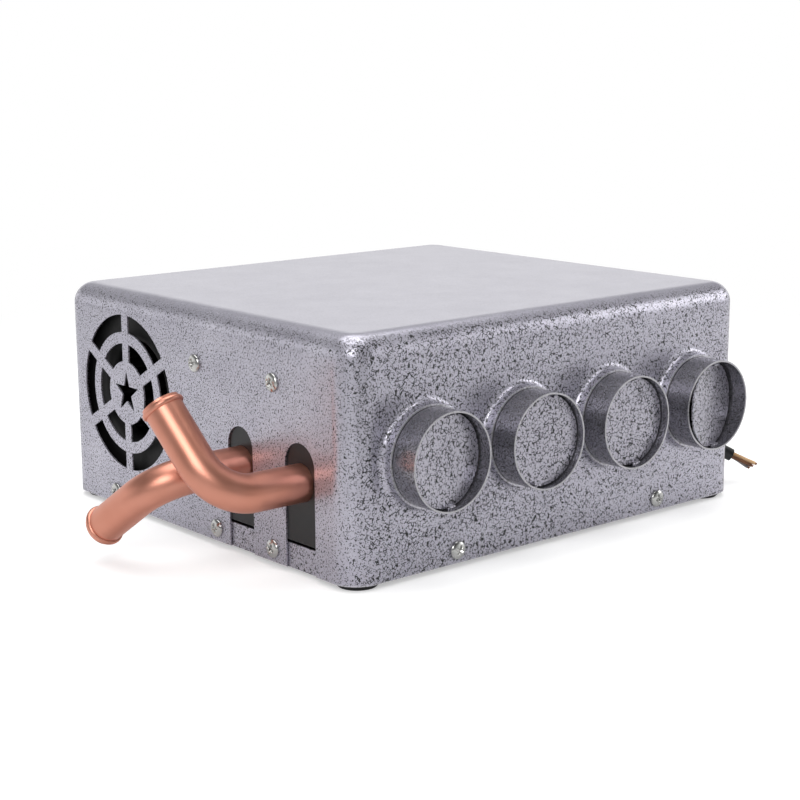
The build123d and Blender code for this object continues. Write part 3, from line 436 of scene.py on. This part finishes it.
# Pan-head screws of bright zinc plate hold the cover to the tray and the blower in the cover.
# The head is a shallow dome with a cross recess, over a threaded shank.
screw_zinc = grained("screw_zinc", (0.50, 0.50, 0.49), (0.72, 0.72, 0.70), 700, (0.16, 0.30),
                     0.00004, metallic=1.0)
thread_pitch, thread_depth = 0.0011, 0.00035
cross_reach, cross_half_width, cross_depth = 0.0027, 0.00082, 0.0018


def pan_screw(centre, axis, turn):
    """One screw as a closed surface.

    Its profile runs up the shank, out under the head and over a dome that is part of an ellipse,
    to the crown. The recess takes a cross with tapered arms from the dome, and the thread is a
    ridge that climbs the shank.
    """
    head, high, shank, long = 0.00475, 0.0025, 0.0022, 0.0064
    down = np.linspace(-long, -0.0002, 60)
    dome = np.linspace(0, pi / 2, 40)
    radius = np.concatenate([[1e-9], np.full(60, shank), [shank, head - 0.0002, head],
                             head * np.cos(dome), [1e-9]])
    height = np.concatenate([[-long], down, [0.00002, 0.00002, 0.0002],
                             0.0005 + (high - 0.0005) * np.sin(dome), [high]])
    around = np.linspace(0, 2 * pi, 72, endpoint=False)
    r = np.repeat(radius[:, None], 72, 1)
    z = np.repeat(height[:, None], 72, 1)
    climb = (z / thread_pitch - around[None, :] / (2 * pi)) % 1.0
    on_shank = np.zeros(len(radius), dtype=bool)
    on_shank[3:58] = True
    r = np.where(on_shank[:, None], r - thread_depth * np.abs(climb - 0.5) * 2, r)
    x, y = r * np.cos(around), r * np.sin(around)
    short, far = np.minimum(np.abs(x), np.abs(y)), np.maximum(np.abs(x), np.abs(y))
    in_length = np.clip((cross_reach - far) / 0.0012, 0, 1)
    in_width = np.clip((cross_half_width - short) / 0.00022, 0, 1)
    z = z - np.where(z > 0.0008, cross_depth, 0.0) * (in_length * in_width)
    across = np.cross(axis, (0.0, 0.0, 1.0))
    upward = np.cross(across, axis)
    c, s = cos(turn), sin(turn)
    first, second = across * c + upward * s, upward * c - across * s
    outward = np.array(axis, dtype=float)
    return np.array(centre) + x[..., None] * first + y[..., None] * second + z[..., None] * outward


low_places, high_places, end_places = (-0.0665, -0.018, 0.080), (-0.0683, -0.0015), (-0.0735, 0.0735)
for node, axis, places in (
    ("screws_left_low", (-1.0, 0, 0), [(-0.14, y, 0.007) for y in low_places]),
    ("screws_left_high", (-1.0, 0, 0), [(-0.14, y, 0.091) for y in high_places]),
    ("screws_right_low", (1.0, 0, 0), [(0.14, y, 0.007) for y in low_places]),
    ("screws_right_high", (1.0, 0, 0), [(0.14, y, 0.091) for y in high_places]),
    ("screws_front", (0, -1.0, 0), [(x, -0.1285, 0.007) for x in end_places]),
    ("screws_back", (0, 1.0, 0), [(x, 0.1285, 0.007) for x in end_places]),
):
    heads = [pan_screw(place, axis, 0.45 + 0.9 * n) for n, place in enumerate(places)]
    piece = surface(node + "_heads", heads, loop=True, material=screw_zinc)
    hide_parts(node)
dress(screw_zinc, "strap_screws")

# The heater core: aluminium fins pressed on the copper tubes, between two steel end plates
# that hang from brackets, with closed-cell foam strips above and below.
dress(grained("fin_aluminium", (0.42, 0.43, 0.44), (0.68, 0.69, 0.71), 300, (0.3, 0.45),
              0.00006, metallic=1.0, draw=(6, 1, 1)), "core_fins")
plated_steel = grained("plated_steel", (0.34, 0.34, 0.35), (0.55, 0.55, 0.56), 240, (0.28, 0.45),
                       0.00005, metallic=1.0)
dress(plated_steel, "core_plate_left", "core_plate_right", "core_bracket_left", "core_bracket_right",
      "motor_can", "motor_cap_left", "motor_cap_right", "motor_cradle", "motor_strap")
dress(grained("foam_strip", (0.010, 0.010, 0.010), (0.045, 0.045, 0.046), 1500, (0.85, 0.98), 0.0004),
      "core_seal_bottom", "core_seal_top")

# The blower: a squirrel-cage wheel on each end of the motor's shaft, each in a scroll
# housing with a flared inlet ring that faces the grille. All are black glass-filled nylon, toned darker than
# the nylon as painted shade for the dark inside the case.
dress(grained("black_nylon", (0.002, 0.002, 0.0022), (0.005, 0.005, 0.0055), 420, (0.55, 0.7), 0.00008),
      "blower_wheel_left", "blower_wheel_right", "scroll_left", "scroll_right",
      "scroll_inlet_left", "scroll_inlet_right")

# The motor's inside: a turned steel shaft in sintered bronze bushes, two ferrite magnets
# glued in the can, and a stack of steel laminations that carries the windings.
dress(grained("turned_steel", (0.45, 0.45, 0.46), (0.66, 0.66, 0.67), 500, (0.14, 0.28),
              0.00003, metallic=1.0, draw=(0.2, 3, 3)), "motor_shaft")
dress(grained("sintered_bronze", (0.28, 0.16, 0.06), (0.50, 0.32, 0.14), 1800, (0.35, 0.55),
              0.00008, metallic=1.0), "motor_bush_left", "motor_bush_right")
dress(grained("ferrite", (0.035, 0.035, 0.037), (0.075, 0.075, 0.078), 900, (0.5, 0.7), 0.0001),
      "motor_magnets")
dress(grained("lamination_steel", (0.14, 0.12, 0.11), (0.32, 0.29, 0.27), 300, (0.4, 0.6),
              0.0001, metallic=0.9, draw=(12, 1, 1)), "motor_armature")

# The studio: a pale floor under the feet that runs out to white, a wide lamp overhead, one
# to the front left and a weaker one to the right, in a white room.
under_feet, floor_half = -0.003, 6
floor_corners = [(floor_half * x, floor_half * y, under_feet)
                 for x, y in ((-1, -1), (1, -1), (1, 1), (-1, 1))]
floor_mesh = bpy.data.meshes.new("floor")
floor_mesh.from_pydata(floor_corners, [], [(0, 1, 2, 3)])
floor = bpy.data.objects.new("floor", floor_mesh)
bpy.context.scene.collection.objects.link(floor)
floor_paper, nodes, links, shader, place = new_material("floor_paper")
tree = floor_paper.node_tree
shader.inputs["Roughness"].default_value = 0.9
shader.inputs["Specular IOR Level"].default_value = 0.0
path = nodes.new("ShaderNodeLightPath").outputs
fibre = worked(tree, "TexNoise", place, None, 60.0)
# The level direction from the camera to the backdrop
backward = (0.648, 0.762, 0.0)
towards_back = worked(tree, "VectorMath", place, backward, operation="DOT_PRODUCT").outputs["Value"]
# Painted reflection: for glossy rays only, the floor's colour darkens towards the front of the heater, so
# what mirrors it there is darker
painted_reflection_tone = ramp(tree, towards_back, -0.75, -0.05, 0.30, 0.85)
as_seen = worked(tree, "Mix", path["Is Glossy Ray"], data_type="FLOAT")
links.new(ramp(tree, fibre.outputs[0], 0.0, 1.0, 0.78, 0.82), as_seen.inputs["A"])
links.new(painted_reflection_tone, as_seen.inputs["B"])
links.new(as_seen.outputs["Result"], shader.inputs["Base Color"])
from_middle = worked(tree, "VectorMath", place, operation="LENGTH").outputs["Value"]
seen = worked(tree, "Math", path["Is Camera Ray"], path["Is Transmission Ray"],
              operation="MAXIMUM").outputs[0]
glow = worked(tree, "Emission", None, None)
links.new(worked(tree, "Math", seen, 0.42, operation="MULTIPLY").outputs[0], glow.inputs["Strength"])
near = worked(tree, "AddShader", shader.outputs[0], glow.outputs[0])
white = worked(tree, "Emission", None, 1.0)
far = worked(tree, "Math", ramp(tree, from_middle, 0.30, 0.75, 0.0, 1.0, smooth=True), seen,
             operation="MULTIPLY")
paper = worked(tree, "MixShader", far.outputs[0], near.outputs[0], white.outputs[0])
links.new(paper.outputs[0], nodes["Material Output"].inputs["Surface"])
floor_mesh.materials.append(floor_paper)

# Matt surfaces get the room's even light. The camera sees white all round. A gloss shows the
# white backdrop behind the heater, and the darker room above it and in front of it
world = bpy.data.worlds.new("white_room")
bpy.context.scene.world = world
world.use_nodes = True
tree = world.node_tree
nodes, links = tree.nodes, tree.links
path = nodes.new("ShaderNodeLightPath").outputs
way = nodes.new("ShaderNodeTexCoord").outputs["Generated"]
back = worked(tree, "VectorMath", way, backward, operation="DOT_PRODUCT").outputs["Value"]
above = worked(tree, "SeparateXYZ", way).outputs["Z"]
behind = ramp(tree, back, -0.8, 0.0, 0.22, 1.0, smooth=True)
overhead = ramp(tree, above, 0.26, 0.46, 1.0, 0.22, smooth=True)
room = worked(tree, "Math", behind, overhead, operation="MULTIPLY").outputs[0]
in_gloss = worked(tree, "Mix", path["Is Glossy Ray"], data_type="FLOAT")
in_gloss.inputs["A"].default_value = 0.45
links.new(room, in_gloss.inputs["B"])
seen = worked(tree, "Math", path["Is Camera Ray"], path["Is Transmission Ray"],
              operation="MAXIMUM").outputs[0]
strength = worked(tree, "Mix", seen, data_type="FLOAT")
links.new(in_gloss.outputs["Result"], strength.inputs["A"])
strength.inputs["B"].default_value = 1.0
nodes["Background"].inputs["Color"].default_value = (1, 1, 1, 1)
links.new(strength.outputs["Result"], nodes["Background"].inputs["Strength"])

for name, place, size, watts in (
    ("overhead", (0.05, 0.10, 1.30), 1.3, 12.0),
    ("front_left", (-0.95, -0.75, 0.75), 0.7, 7.0),
    ("right", (1.10, -0.60, 0.55), 0.6, 3.0),
):
    lamp = bpy.data.lights.new(name, "AREA")
    lamp.shape = "SQUARE"
    lamp.size = size
    lamp.energy = watts
    holder = bpy.data.objects.new(name, lamp)
    aim = Vector((0, 0, 0.06)) - Vector(place)
    turned = aim.to_track_quat("-Z", "Y").to_matrix().to_4x4()
    holder.matrix_world = Matrix.Translation(place) @ turned
    bpy.context.scene.collection.objects.link(holder)

bpy.context.scene.view_settings.view_transform = "Standard"
